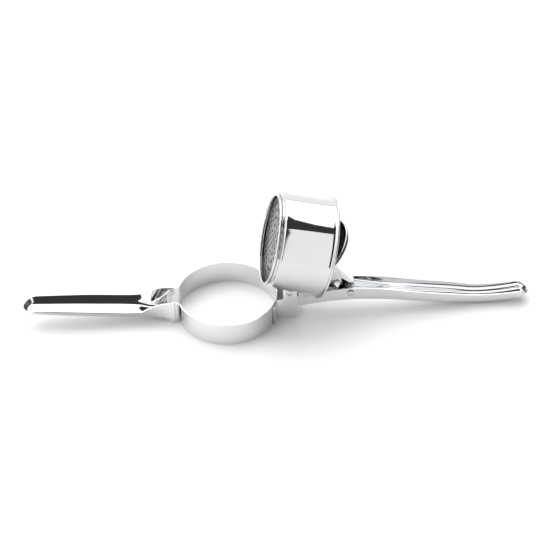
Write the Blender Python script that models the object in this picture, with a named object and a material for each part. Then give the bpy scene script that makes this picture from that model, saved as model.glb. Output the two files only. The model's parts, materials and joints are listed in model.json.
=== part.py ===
"""A two-handled lever press of pressed sheet steel, with a loose round basket.

It lies open and flat: the ring and its handle to the left, the upper lever folded over to
the right. Metres, +Z up, +X towards the upper lever's tip, the table at Z = 0. The shapes
are worked out about the ring's centre, and the whole press is then shifted so that its
origin lies under the middle of its box.
"""

import math

import bmesh
import bpy
from mathutils import Matrix, Vector

# Sheet and fits
SHEET = 0.0010  # band, ears, handle and lever
GAP = 0.0003  # between pieces that touch
RUNNING = 0.0002  # round a pin, each side

# Ring band
BAND_RADIUS = 0.0424  # outside
BAND_HEIGHT = 0.0204
NECK_HALF = 0.0096  # half the width over the band's two turned-out ends
NECK_FILLET = 0.0050
NECK_LENGTH = 0.0026  # straight run after the fillet

# Lower handle, as distances from the ring's centre
HANDLE_REACH = 0.1715
HANDLE_SHOULDER = 0.0300  # from the handle's ring end to where the tall sides have come down
HANDLE_HALF = 0.0127  # widest half width
HANDLE_TIP_HALF = 0.0106
HANDLE_DEPTH = 0.0083  # depth of the trough
HANDLE_TIP_DEPTH = 0.0066
HANDLE_TIP_DIP = 0.0024  # how far the rim dips round the tip
HANDLE_SHOULDER_RISE = 0.0050  # height of the floor at the shoulder
HANDLE_TIP_RISE = 0.0120  # height of the floor at the tip
HANDLE_CORNER = 0.0056

# Hinge
HINGE_BEYOND_BAND = 0.0098  # from the band's outside to the pin
HINGE_HEIGHT = 0.0276
PIN_RADIUS = 0.0019
PIN_HEAD_RADIUS = 0.0030
PIN_HEAD_HEIGHT = 0.0011
EAR_HALF = 0.0123  # half the width over the two ears
EAR_BEYOND_PIN = 0.0060
EAR_ABOVE_PIN = 0.0034
EAR_FOOT = 0.0004  # clear of the table
EAR_STEP = 0.0045  # from the ring to where the ear steps up
EAR_TAB_DEGREES = 12.0  # how far the welded tab reaches round the ring
WASHER_THICKNESS = 0.0006
WASHER_RADIUS = 0.0042

# Upper lever, as distances from the hinge
LEVER_REACH = 0.2056
LEVER_HALF = 0.0088
LEVER_TIP_HALF = 0.0078
LEVER_CORNER = 0.0022
LEVER_LOBE = 0.0037  # radius round the hinge pin
LEVER_WEB_START = 0.0075

# Pusher
PUSHER_PIN_SHORT = 0.0005  # how far it falls short of the ring's centre, when closed
PUSHER_PIN_DROP = 0.0062  # below the hinge
PUSHER_LENGTH = 0.0500  # pin to the plate's pressing face
PUSHER_LEAN = 40.0  # degrees from upright, at rest
BRACKET_HALF = 0.0043
BRACKET_LOBE = 0.0048
BRACKET_WEB = 0.0077  # from the pin to the outside of the web
BRACKET_SPREAD = 12.0  # degrees by which the ears widen
BRACKET_FOOT_LENGTH = 0.0260
BRACKET_FOOT_HALF = 0.0110
PLATE_LOOSE = 0.0037  # between the plate's edge and the basket's inside
PLATE_SHEET = 0.0010
PLATE_SKIRT = 0.0034
PLATE_EDGE = 0.0012  # radius of the turned-down edge
RIVET_RADIUS = 0.0016
RIVET_HEAD_RADIUS = 0.0028
RIVET_HEAD_HEIGHT = 0.0010
RIVET_SPREAD = 0.0075  # from the pusher's middle to each rivet

# Basket
BASKET_SHEET = 0.0006
BASKET_LOOSE = 0.0011  # between the basket and the band
BASKET_LENGTH = 0.0490
BASKET_FLANGE = 0.0032  # how far the flange stands out from the wall
BASKET_LEAN = -13.2  # degrees of its axis, from bottom to mouth, from level
BASKET_MOUTH_BACK = 0.0208  # from the pusher pin back to the middle of the mouth, as it lies
BASKET_REST = 0.02245  # height of the lowest point of the flange's edge
BOTTOM_RECESS = 0.0042
BOTTOM_SHEET = 0.0008
BEAD_RADIUS = 0.0012
HOLE_RADIUS = 0.0014
HOLE_PITCH = 0.0062
HOLE_RINGS = 5

STEEL = (0.78, 0.78, 0.79, 1.0)


def hingeReach():
    """From the ring's centre to the hinge pin."""
    return BAND_RADIUS + HINGE_BEYOND_BAND


def pusherPinReach():
    """Along the lever, from the hinge pin to the pusher pin."""
    return hingeReach() - PUSHER_PIN_SHORT


def basketRadius():
    """Outside of the basket's wall, which drops into the band."""
    return BAND_RADIUS - SHEET - BASKET_LOOSE


def plateRadius():
    return basketRadius() - BASKET_SHEET - PLATE_LOOSE


def clearScene():
    for obj in list(bpy.data.objects):
        bpy.data.objects.remove(obj, do_unlink=True)


def steel(name, roughness=0.08, colour=STEEL):
    material = bpy.data.materials.new(name)
    material.use_nodes = True
    shader = material.node_tree.nodes["Principled BSDF"]
    shader.inputs["Base Color"].default_value = colour
    shader.inputs["Metallic"].default_value = 1.0
    shader.inputs["Roughness"].default_value = roughness
    return material


def empty(name, place, parent=None, turn=0.0):
    """An empty at place in its parent's space, turned about Y by turn degrees."""
    holder = bpy.data.objects.new(name, None)
    bpy.context.collection.objects.link(holder)
    holder.parent = parent
    holder.location = place
    holder.rotation_euler = (0, math.radians(turn), 0)
    return holder


def finish(name, bm, parent, material, smooth=35.0):
    """Makes the bmesh an object of this name under its parent empty."""
    bmesh.ops.remove_doubles(bm, verts=bm.verts[:], dist=1e-6)
    bmesh.ops.recalc_face_normals(bm, faces=bm.faces[:])
    mesh = bpy.data.meshes.new(name)
    bm.to_mesh(mesh)
    bm.free()
    mesh.materials.append(material)
    mesh.shade_smooth()
    mesh.set_sharp_from_angle(angle=math.radians(smooth))
    obj = bpy.data.objects.new(name, mesh)
    bpy.context.collection.objects.link(obj)
    obj.parent = parent
    return obj


def solidify(obj, thickness, offset):
    modifier = obj.modifiers.new("sheet", "SOLIDIFY")
    modifier.thickness = thickness
    modifier.offset = offset
    modifier.use_even_offset = True
    return modifier


def boolean(obj, other, operation="DIFFERENCE"):
    modifier = obj.modifiers.new(other.name, "BOOLEAN")
    modifier.operation = operation
    modifier.solver = "EXACT"
    modifier.object = other
    other.hide_render = True
    other.display_type = "WIRE"


def rodCutter(name, radius, length, places, parent, axis="Y", sides=24):
    """Round rods centred on the places, along Y or Z, as one hidden cutter."""
    bm = bmesh.new()
    turn = Matrix.Rotation(math.radians(90), 4, "X") if axis == "Y" else Matrix.Identity(4)
    for place in places:
        bmesh.ops.create_cone(
            bm, cap_ends=True, segments=sides, radius1=radius, radius2=radius, depth=length,
            matrix=Matrix.Translation(place) @ turn,
        )
    cutter = finish(name, bm, parent, bpy.data.materials["steel_cut"])
    cutter.hide_render = True
    cutter.display_type = "WIRE"
    return cutter


def turned(name, profile, parent, material, segments=48, axis="Z", place=(0, 0, 0)):
    """Spins a closed profile of (radius, height) about Z, or about Y."""
    bm = bmesh.new()
    points = [bm.verts.new((radius, 0, height)) for radius, height in profile]
    edges = [bm.edges.new((a, b)) for a, b in zip(points, points[1:] + points[:1]) if a != b]
    bmesh.ops.spin(
        bm, geom=points + edges, cent=(0, 0, 0), axis=(0, 0, 1), angle=2 * math.pi,
        steps=segments, use_merge=True,
    )
    bmesh.ops.remove_doubles(bm, verts=bm.verts[:], dist=1e-6)
    flat = [f for f in bm.faces if f.calc_area() < 1e-14]
    bmesh.ops.delete(bm, geom=flat, context="FACES")
    if axis == "Y":
        bmesh.ops.rotate(bm, verts=bm.verts[:], matrix=Matrix.Rotation(math.radians(90), 3, "X"))
    bmesh.ops.translate(bm, verts=bm.verts[:], vec=place)
    return finish(name, bm, parent, material)


def arc(centre, radius, start, end, steps):
    """Points on an arc in a plane, its angles in degrees, both ends included."""
    found = []
    for step in range(steps + 1):
        angle = math.radians(start + (end - start) * step / steps)
        found.append((centre[0] + radius * math.cos(angle), centre[1] + radius * math.sin(angle)))
    return found


def smoothTable(rows, x):
    """Reads a table of (x, value, ...) rows at x, easing between them without overshoot."""
    if x <= rows[0][0]:
        return rows[0][1:]
    for left, right in zip(rows, rows[1:]):
        if x <= right[0]:
            share = (x - left[0]) / (right[0] - left[0])
            index = rows.index(left)
            before = rows[index - 1] if index else left
            after = rows[index + 2] if index + 2 < len(rows) else right
            found = []
            for k in range(1, len(left)):
                middle = (right[k] - left[k]) / (right[0] - left[0])
                slopes = []
                for a, b in ((before, left), (right, after)):
                    other = (b[k] - a[k]) / (b[0] - a[0]) if b[0] != a[0] else middle
                    slopes.append(0.0 if other * middle <= 0 else 2 * other * middle / (other + middle))
                width = right[0] - left[0]
                h00 = 2 * share**3 - 3 * share**2 + 1
                h10 = share**3 - 2 * share**2 + share
                found.append(
                    h00 * left[k] + h10 * width * slopes[0]
                    + (1 - h00) * right[k] + (share**3 - share**2) * width * slopes[1]
                )
            return tuple(found)
    return rows[-1][1:]


def strip(bm, path, low, high, rows=1):
    """Vertical faces over a plan path; low and high give the edge heights at each point."""
    columns = []
    for index, (x, y) in enumerate(path):
        bottom = low(index) if callable(low) else low
        top = high(index) if callable(high) else high
        columns.append([
            bm.verts.new((x, y, bottom + (top - bottom) * row / rows)) for row in range(rows + 1)
        ])
    for a, b in zip(columns, columns[1:]):
        for row in range(rows):
            bm.faces.new((a[row], b[row], b[row + 1], a[row + 1]))


def bandPath():
    """Plan of the band's outside, from the front neck end round to the back one."""
    filletX = -math.sqrt((BAND_RADIUS + NECK_FILLET) ** 2 - (NECK_HALF + NECK_FILLET) ** 2)
    filletY = -(NECK_HALF + NECK_FILLET)
    meeting = math.degrees(math.atan2(filletY, filletX))
    front = [(filletX - NECK_LENGTH, -NECK_HALF)]
    front += arc((filletX, filletY), NECK_FILLET, 90, meeting + 180, 6)
    front += arc((0, 0), BAND_RADIUS, meeting, 0, 26)[1:]
    return front + [(x, -y) for x, y in reversed(front[:-1])]


def neckEnd():
    return bandPath()[0][0]


def ringBand(parent, material):
    bm = bmesh.new()
    strip(bm, bandPath(), 0.0, BAND_HEIGHT)
    obj = finish("ring_band", bm, parent, material)
    outward = obj.data.polygons[len(obj.data.polygons) // 2]
    facing = outward.normal.dot(outward.center * Vector((1, 1, 0))) > 0
    solidify(obj, SHEET, -1 if facing else 1)
    return obj


def troughProfile(half, rim, floor, corner, tall):
    """Outside of half a trough, from the rim down the side and along the floor to its middle."""
    corner = min(corner, 0.95 * half, 0.95 * (rim - floor))
    points = [(half, rim), (half, floor + corner + (rim - floor - corner) * 0.5)]
    points = points if tall else points[:1]
    for step in range(5):
        angle = math.radians(90 * step / 4)
        points.append((
            half - corner + corner * math.cos(angle), floor + corner - corner * math.sin(angle)
        ))
    points.append(((half - corner) * 0.5, floor))
    points.append((0.0, floor))
    return points


def trough(bm, stations, tipCentre, sizes, way, corner, tipCorner, wallsOnly=0, lobe=None):
    """Open trough along X with a rounded closed end.

    sizes(x) gives (half width, rim height, floor height). way is the end's direction, +1 or
    -1. The first wallsOnly stations have sides and no floor; lobe(x) gives their rim and foot.
    """
    tipHalf = sizes(tipCentre)[0]
    sides = {1: [], -1: []}
    for side in (-1, 1):
        for index, x in enumerate(stations):
            half, rim, floor = sizes(x)
            if index < wallsOnly:
                rim, foot = lobe(x)
                heights = [rim, rim + (foot - rim) * 0.35, rim + (foot - rim) * 0.7, foot]
                column = [bm.verts.new((x, side * half, z)) for z in heights]
                sides[side].append(column + [None] * 5)
                continue
            outline = troughProfile(half, rim, floor, corner, True)
            sides[side].append([bm.verts.new((x, side * y, z)) for y, z in outline])
    fanSteps = 8
    fan = []
    _, rim, floor = sizes(tipCentre)
    for step in range(fanSteps + 1):
        angle = math.radians(-90 + 180 * step / fanSteps)
        share = math.cos(angle)
        lift = sizes(tipCentre + way * tipHalf * share)
        growing = corner + (tipCorner - corner) * share
        outline = troughProfile(tipHalf, lift[1], floor, growing, True)
        fan.append([
            bm.verts.new((
                tipCentre + way * y * math.cos(angle), y * math.sin(angle),
                z if y > tipHalf * 0.55 else floor,
            ))
            for y, z in outline
        ])
    columns = sides[-1] + fan[1:-1] + list(reversed(sides[1]))
    for a, b in zip(columns, columns[1:]):
        for row in range(len(a) - 1):
            corners = (a[row], b[row], b[row + 1], a[row + 1])
            if None not in corners:
                bm.faces.new(corners)


def handleSizes(x):
    """Half width, rim height and floor height of the lower handle's outside at x."""
    start = -handleStart()
    shoulder = start + HANDLE_SHOULDER
    neck = NECK_HALF + GAP + SHEET
    shoulderRim = HANDLE_SHOULDER_RISE + HANDLE_DEPTH
    rows = [
        (start, neck, BAND_HEIGHT + SHEET * 0.5, GAP),
        (start + 0.25 * HANDLE_SHOULDER, neck + 0.0004, BAND_HEIGHT + SHEET * 0.4, 0.0012),
        (start + 0.72 * HANDLE_SHOULDER, HANDLE_HALF - 0.0006, shoulderRim + 0.0037,
         HANDLE_SHOULDER_RISE - 0.0014),
        (shoulder, HANDLE_HALF, shoulderRim, HANDLE_SHOULDER_RISE),
        (0.67 * HANDLE_REACH, HANDLE_HALF - 0.0004,
         (shoulderRim + HANDLE_TIP_RISE + HANDLE_TIP_DEPTH) / 2,
         (HANDLE_SHOULDER_RISE + HANDLE_TIP_RISE) / 2 - 0.0001),
        (HANDLE_REACH - HANDLE_TIP_HALF, HANDLE_TIP_HALF, HANDLE_TIP_RISE + HANDLE_TIP_DEPTH,
         HANDLE_TIP_RISE),
        (HANDLE_REACH, HANDLE_TIP_HALF, HANDLE_TIP_RISE + HANDLE_TIP_DEPTH - HANDLE_TIP_DIP,
         HANDLE_TIP_RISE),
    ]
    return smoothTable(rows, -x)


def handleStart():
    """X of the handle's ring end: just clear of the band, where the fillet leaves the neck."""
    return neckEnd() + NECK_LENGTH + 0.0004


def lowerHandle(parent, material):
    start = handleStart()
    tipCentre = -(HANDLE_REACH - HANDLE_TIP_HALF)
    shoulder = start - HANDLE_SHOULDER
    sideOnly = [start, neckEnd() - GAP]
    stations = sideOnly + [
        sideOnly[-1] - 0.0006 + (shoulder - sideOnly[-1]) * step / 9 for step in range(9)
    ]
    stations += [shoulder + (tipCentre - shoulder) * step / 12 for step in range(13)]
    bm = bmesh.new()
    trough(
        bm, stations, tipCentre, handleSizes, -1, HANDLE_CORNER, 0.0058,
        wallsOnly=len(sideOnly), lobe=lambda x: (handleSizes(x)[1], 2 * GAP),
    )
    obj = finish("lower_handle", bm, parent, material, 50.0)
    solidify(obj, SHEET, sheetSide(obj))
    return obj


def sheetSide(obj):
    """The Solidify offset that puts the sheet's thickness inside a trough's outline."""
    lowest = min(obj.data.polygons, key=lambda face: face.center.z)
    return -1 if lowest.normal.z < 0 else 1


def ear(side, parent, material):
    """Ear of the hinge, with its tab round the ring. side is -1 at the front, 1 at the back."""
    outer = BAND_RADIUS + GAP + SHEET
    faceX = math.sqrt(outer**2 - EAR_HALF**2)
    leave = math.degrees(math.asin(EAR_HALF / outer))
    tab = arc((0, 0), outer, leave + EAR_TAB_DEGREES, leave, 4)
    endX = hingeReach() + EAR_BEYOND_PIN
    top = HINGE_HEIGHT + EAR_ABOVE_PIN
    stepX = faceX + EAR_STEP
    flat = [faceX + 0.0012, faceX + 0.0028, stepX - 0.0004, stepX, stepX + 0.0010]
    flat += [stepX + 0.0024, hingeReach() - 0.0020, hingeReach() + 0.0020, endX - 0.0016, endX]
    path = tab + [(x, EAR_HALF) for x in flat]
    tabTop = BAND_HEIGHT - 0.0006
    tops = [tabTop] * (len(tab) + 2)
    tops += [tabTop + 0.0010, HINGE_HEIGHT - 0.0018, HINGE_HEIGHT + 0.0012, top - 0.0004]
    tops += [top, top, top - 0.0002, top - 0.0018]
    bm = bmesh.new()
    strip(bm, [(x, side * y) for x, y in path], EAR_FOOT, lambda index: tops[index], rows=3)
    name = "hinge_ear_front" if side < 0 else "hinge_ear_back"
    obj = finish(name, bm, parent, material)
    face = max(obj.data.polygons, key=lambda polygon: polygon.center.x)
    solidify(obj, SHEET, -1 if face.normal.y * side > 0 else 1)
    hole = rodCutter(
        name + "_hole", PIN_RADIUS + RUNNING, 6 * SHEET,
        [(hingeReach(), side * EAR_HALF, HINGE_HEIGHT)], parent,
    )
    boolean(obj, hole)
    return obj


def rivetProfile(radius, headRadius, headHeight, grip):
    """Closed profile of a rivet with a domed head at each end of its grip."""
    dome = [(headRadius * math.cos(a), grip / 2 + headHeight * math.sin(a))
            for a in (math.radians(15 * step) for step in range(6))]
    upper = [(radius, grip / 2), *dome, (0.0, grip / 2 + headHeight)]
    return [*reversed([(r, -z) for r, z in upper]), *upper]


def rivet(name, sizes, grip, place, parent, material, axis="Y"):
    profile = rivetProfile(*sizes, grip)
    return turned(name, profile, parent, material, 24, axis, place)


def washerProfile(inner, outer, thickness):
    half = thickness / 2
    return [(inner, -half), (outer, -half), (outer, half), (inner, half)]


def leverHingeHalf():
    return EAR_HALF - SHEET - 2 * GAP - WASHER_THICKNESS


def leverSizes(x):
    """Half width, rim height and floor height of the lever's outside, from the hinge pin."""
    pinRim = 0.0050 - PUSHER_PIN_DROP
    rows = [
        (-LEVER_LOBE, leverHingeHalf(), -0.0060, -0.0172),
        (LEVER_LOBE, leverHingeHalf(), -0.0060, -0.0172),
        (0.0100, leverHingeHalf() - 0.0001, -0.0082, -0.0172),
        (0.0215, LEVER_HALF + 0.0006, pinRim - 0.0046, -0.0160),
        (0.0330, LEVER_HALF + 0.0003, pinRim - 0.0014, -0.0151),
        (pusherPinReach(), LEVER_HALF, pinRim, -0.0152),
        (0.3721 * LEVER_REACH, LEVER_HALF, -0.0034, -0.0174),
        (0.4912 * LEVER_REACH, LEVER_HALF + 0.0004, -0.0074, -0.0207),
        (0.6761 * LEVER_REACH, LEVER_HALF, -0.0130, -0.0253),
        (0.8025 * LEVER_REACH, LEVER_TIP_HALF, -0.0163, -0.0275),
        (0.8755 * LEVER_REACH, LEVER_TIP_HALF, -0.0160, -0.0270),
        (LEVER_REACH - LEVER_TIP_HALF, LEVER_TIP_HALF, -0.0145, -0.0250),
        (LEVER_REACH, LEVER_TIP_HALF, -0.0192, -0.0245),
    ]
    return smoothTable(rows, x)


def leverLobe(x):
    """Rim and foot of the lever's side round the hinge pin."""
    rise = math.sqrt(max(LEVER_LOBE**2 - x**2, 1e-8))
    if x <= 0:
        return rise, -rise
    share = min(x / LEVER_WEB_START, 1.0)
    rim = leverSizes(LEVER_WEB_START)[1]
    return rise + (rim - rise) * share**3, -LEVER_LOBE - 0.0122 * share**1.5


def upperLever(parent, material):
    lobe = [-LEVER_LOBE * math.cos(math.radians(a)) for a in (8, 35, 60, 90, 112, 132)]
    lobe.append(0.0052)
    body = [LEVER_WEB_START + 0.0008 * step for step in range(2)]
    tipCentre = LEVER_REACH - LEVER_TIP_HALF
    body += [0.0105 + (tipCentre - 0.0105) * step / 22 for step in range(23)]
    bm = bmesh.new()
    trough(
        bm, lobe + body, tipCentre, leverSizes, 1, LEVER_CORNER, 0.0060,
        wallsOnly=len(lobe), lobe=leverLobe,
    )
    obj = finish("upper_lever", bm, parent, material, 50.0)
    solidify(obj, SHEET, sheetSide(obj))
    holes = rodCutter(
        "lever_holes", PIN_RADIUS + RUNNING, 4 * EAR_HALF,
        [(0, 0, 0), (pusherPinReach(), 0, -PUSHER_PIN_DROP)], parent,
    )
    boolean(obj, holes)
    return obj


def bracket(parent, material):
    """Folded bracket: two ears that widen towards the plate, a web on their right, and a foot."""
    top = PUSHER_LENGTH - PLATE_SHEET - GAP
    bm = bmesh.new()
    webX = BRACKET_WEB
    spread = math.tan(math.radians(BRACKET_SPREAD))
    levels = [-BRACKET_LOBE * math.cos(math.radians(a)) for a in (8, 30, 55, 75, 90)]
    webStart = len(levels) + 1
    levels += [0.0040, 0.0080, 0.0160, 0.0300, top - 0.5 * SHEET]
    lines = {-1: [], 1: []}
    for z in levels:
        if z <= 0:
            half = math.sqrt(max(BRACKET_LOBE**2 - z**2, 1e-8))
            left, right = -half, half
        else:
            left = -BRACKET_LOBE - z * spread
            right = BRACKET_LOBE + (webX - BRACKET_LOBE) * min(z / 0.0040, 1.0)
        for side in (-1, 1):
            lines[side].append([
                bm.verts.new((left + (right - left) * step / 4, side * BRACKET_HALF, z))
                for step in range(5)
            ])
    for index in range(len(levels) - 1):
        for side in (-1, 1):
            a, b = lines[side][index], lines[side][index + 1]
            for step in range(4):
                bm.faces.new((a[step], a[step + 1], b[step + 1], b[step]))
        if index >= webStart:
            front, back = lines[-1], lines[1]
            bm.faces.new((front[index][4], back[index][4], back[index + 1][4], front[index + 1][4]))
    obj = finish("pusher_bracket", bm, parent, material)
    web = max(obj.data.polygons, key=lambda face: face.center.x)
    solidify(obj, SHEET, -1 if web.normal.x > 0 else 1)

    foot = bmesh.new()
    middle = webX - BRACKET_FOOT_LENGTH / 2 + 0.0012
    bmesh.ops.create_cube(foot, size=1.0, matrix=Matrix.Translation((middle, 0, top - SHEET / 2))
                          @ Matrix.Diagonal((BRACKET_FOOT_LENGTH, 2 * BRACKET_FOOT_HALF, SHEET, 1)))
    upright = [e for e in foot.edges if abs(e.verts[0].co.z - e.verts[1].co.z) > SHEET / 2]
    bmesh.ops.bevel(foot, geom=upright, offset=0.004, segments=4, affect="EDGES", profile=0.5)
    footObject = finish("bracket_foot_shape", foot, parent, material)
    boolean(obj, footObject, "UNION")
    boolean(obj, rodCutter("bracket_pin_hole", PIN_RADIUS + RUNNING, 0.03, [(0, 0, 0)], parent))
    boolean(obj, rodCutter("foot_rivet_holes", RIVET_RADIUS + RUNNING, 0.004,
                           [(x, y, top) for x, y in rivetPlaces()], parent, "Z"))
    return obj


def rivetPlaces():
    middle = BRACKET_WEB - BRACKET_FOOT_LENGTH / 2 + 0.0012
    return [(middle, -RIVET_SPREAD), (middle, RIVET_SPREAD)]


def pusherPlate(parent, material):
    """Pressed disc, its edge turned back towards the pin, with a shallow raised ring."""
    top = PUSHER_LENGTH
    edge = [(plateRadius() - PLATE_EDGE + r, top - PLATE_EDGE + z)
            for r, z in arc((0, 0), PLATE_EDGE, 0, 90, 4)]
    inner = plateRadius() - PLATE_SHEET
    innerEdge = [(inner - PLATE_EDGE * 0.5 + r, top - PLATE_SHEET - PLATE_EDGE * 0.5 + z)
                 for r, z in arc((0, 0), PLATE_EDGE * 0.5, 90, 0, 3)]
    profile = [(plateRadius(), top - PLATE_SKIRT), *edge]
    profile += [(0.62 * plateRadius(), top), (0.58 * plateRadius(), top - 0.0003), (0.0, top - 0.0003)]
    profile += [(0.0, top - PLATE_SHEET), (0.60 * plateRadius(), top - PLATE_SHEET), *innerEdge]
    profile += [(inner, top - PLATE_SKIRT)]
    obj = turned("pusher_plate", profile, parent, material, 48)
    boolean(obj, rodCutter("plate_rivet_holes", RIVET_RADIUS + RUNNING, 0.006,
                           [(x, y, top) for x, y in rivetPlaces()], parent, "Z"))
    return obj


def basketWall(parent, material):
    """Drawn wall, from the lip under the bead at z = 0 to the flange with its rolled edge."""
    out = basketRadius()
    inn = out - BASKET_SHEET
    lip = out - 0.0022
    rimOut = out + BASKET_FLANGE
    roll = 0.0009
    z = BASKET_LENGTH
    outside = [(lip, 0.0030), (lip, 0.0044)]
    outside += [(out - 0.0016 + r, 0.0062 + h) for r, h in arc((0, 0), 0.0016, -60, 0, 4)]
    outside += [(out, 0.25 * z), (out, 0.6 * z), (out, z - 0.0030)]
    outside += [(out + 0.0008, z - 2 * roll + 0.0002), (rimOut - roll, z - 2 * roll)]
    outside += [(rimOut - roll + r, z - roll + h) for r, h in arc((0, 0), roll, -60, 90, 6)]
    inside = [(inn + 0.0012, z - 0.0001), (inn, z - 0.0016), (inn, 0.5 * z), (inn, 0.0072)]
    inside += [(lip - BASKET_SHEET, 0.0050), (lip - BASKET_SHEET, 0.0030)]
    return turned("basket_wall", outside + inside, parent, material, 56)


def basketBead(parent, material):
    """Bead rolled round the bottom end: it stands GAP clear of the wall's lip."""
    ring = basketRadius() - 0.0022
    outer = ring - BEAD_RADIUS + 0.0001
    profile = arc((outer, 0.0030 - GAP - BEAD_RADIUS), BEAD_RADIUS, 0, 315, 7)
    return turned("basket_bead", profile, parent, material, 56)


def basketBottom(parent, material):
    """Perforated disc, set back from the end, held inside the lip."""
    radius = basketRadius() - 0.0022 - BASKET_SHEET - GAP
    low = BOTTOM_RECESS
    profile = [(0.0, low), (radius, low), (radius, low + BOTTOM_SHEET), (0.0, low + BOTTOM_SHEET)]
    obj = turned("basket_bottom", profile, parent, material, 56)
    places = [(0.0, 0.0, low)]
    for ring in range(1, HOLE_RINGS + 1):
        count = 6 * ring
        for step in range(count):
            angle = 2 * math.pi * (step + 0.5 * (ring % 2)) / count
            places.append((ring * HOLE_PITCH * math.cos(angle), ring * HOLE_PITCH * math.sin(angle), low))
    boolean(obj, rodCutter("bottom_holes", HOLE_RADIUS, 0.006, places, parent, "Z", 8))
    return obj


def build():
    clearScene()
    bright = steel("steel_bright")
    dull = steel("steel_pins", 0.2)
    steel("steel_cut", 0.3)
    middle = (hingeReach() + LEVER_REACH - HANDLE_REACH) / 2

    frame = empty("frame", (-middle, 0, 0))
    ringBand(frame, bright)
    lowerHandle(frame, bright)
    ear(-1, frame, bright)
    ear(1, frame, bright)
    pinPlace = (hingeReach(), 0, HINGE_HEIGHT)
    pinSizes = (PIN_RADIUS, PIN_HEAD_RADIUS, PIN_HEAD_HEIGHT)
    rivet("hinge_pin", pinSizes, 2 * (EAR_HALF + GAP), pinPlace, frame, dull)
    washer = washerProfile(PIN_RADIUS + RUNNING, WASHER_RADIUS, WASHER_THICKNESS)
    for side, name in ((-1, "hinge_washer_front"), (1, "hinge_washer_back")):
        y = side * (EAR_HALF - SHEET - GAP - WASHER_THICKNESS / 2)
        turned(name, washer, frame, dull, 24, "Y", (hingeReach(), y, HINGE_HEIGHT))

    lever = empty("lever", pinPlace, frame)
    upperLever(lever, bright)
    pusherPlace = (pusherPinReach(), 0, -PUSHER_PIN_DROP)
    rivet("pusher_pin", pinSizes, 2 * (LEVER_HALF + GAP), pusherPlace, lever, dull)
    spacerLength = LEVER_HALF - SHEET - BRACKET_HALF - 2 * GAP
    spacer = washerProfile(PIN_RADIUS + RUNNING, PIN_RADIUS + RUNNING + 0.0007, spacerLength)
    for side, name in ((-1, "pusher_spacer_front"), (1, "pusher_spacer_back")):
        y = side * (BRACKET_HALF + GAP + spacerLength / 2)
        turned(name, spacer, lever, dull, 24, "Y", (pusherPinReach(), y, -PUSHER_PIN_DROP))

    pusher = empty("pusher", pusherPlace, lever, -PUSHER_LEAN)
    bracket(pusher, bright)
    pusherPlate(pusher, bright)
    grip = PLATE_SHEET + SHEET + 3 * GAP
    rivetZ = PUSHER_LENGTH - PLATE_SHEET - GAP - SHEET + grip / 2 - GAP
    rivetSizes = (RIVET_RADIUS, RIVET_HEAD_RADIUS, RIVET_HEAD_HEIGHT)
    for (x, y), name in zip(rivetPlaces(), ("plate_rivet_front", "plate_rivet_back")):
        rivet(name, rivetSizes, grip, (x, y, rivetZ), pusher, dull, "Z")

    lean = math.radians(BASKET_LEAN)
    mouthX = hingeReach() + pusherPinReach() - BASKET_MOUTH_BACK
    mouthZ = BASKET_REST + (basketRadius() + BASKET_FLANGE) * math.cos(lean)
    low = (mouthX - BASKET_LENGTH * math.cos(lean), 0, mouthZ - BASKET_LENGTH * math.sin(lean))
    basket = empty("basket", low, frame, 90 - BASKET_LEAN)
    basketWall(basket, bright)
    basketBottom(basket, bright)
    basketBead(basket, bright)


build()
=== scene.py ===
# A ricer with a loose perforated basket, laid open on a pale table.
import json
import math

import bpy
from mathutils import Matrix, Vector


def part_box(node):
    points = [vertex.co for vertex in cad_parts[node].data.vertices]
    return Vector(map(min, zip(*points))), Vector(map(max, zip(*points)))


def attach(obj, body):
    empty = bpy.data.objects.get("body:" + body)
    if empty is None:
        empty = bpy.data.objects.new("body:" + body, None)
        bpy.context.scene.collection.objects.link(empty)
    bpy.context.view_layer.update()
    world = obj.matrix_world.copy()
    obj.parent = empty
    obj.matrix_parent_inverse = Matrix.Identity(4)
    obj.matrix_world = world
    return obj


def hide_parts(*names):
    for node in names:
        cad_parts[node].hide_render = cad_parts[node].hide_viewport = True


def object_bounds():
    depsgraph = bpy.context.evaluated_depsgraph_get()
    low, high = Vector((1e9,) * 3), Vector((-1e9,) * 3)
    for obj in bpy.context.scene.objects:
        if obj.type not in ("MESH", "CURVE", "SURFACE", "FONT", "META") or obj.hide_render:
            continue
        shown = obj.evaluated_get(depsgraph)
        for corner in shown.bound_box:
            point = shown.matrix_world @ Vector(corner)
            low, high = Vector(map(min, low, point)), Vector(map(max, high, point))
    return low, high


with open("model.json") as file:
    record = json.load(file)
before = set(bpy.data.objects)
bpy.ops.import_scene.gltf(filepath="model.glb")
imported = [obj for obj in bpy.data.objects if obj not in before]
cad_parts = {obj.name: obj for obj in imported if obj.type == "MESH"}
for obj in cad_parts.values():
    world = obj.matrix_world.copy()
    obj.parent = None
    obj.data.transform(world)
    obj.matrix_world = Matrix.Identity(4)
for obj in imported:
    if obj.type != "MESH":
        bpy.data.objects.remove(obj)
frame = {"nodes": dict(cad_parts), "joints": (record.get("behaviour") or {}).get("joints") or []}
cadLow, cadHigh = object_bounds()
print("frame loaded:", len(frame["nodes"]), "nodes")

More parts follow.
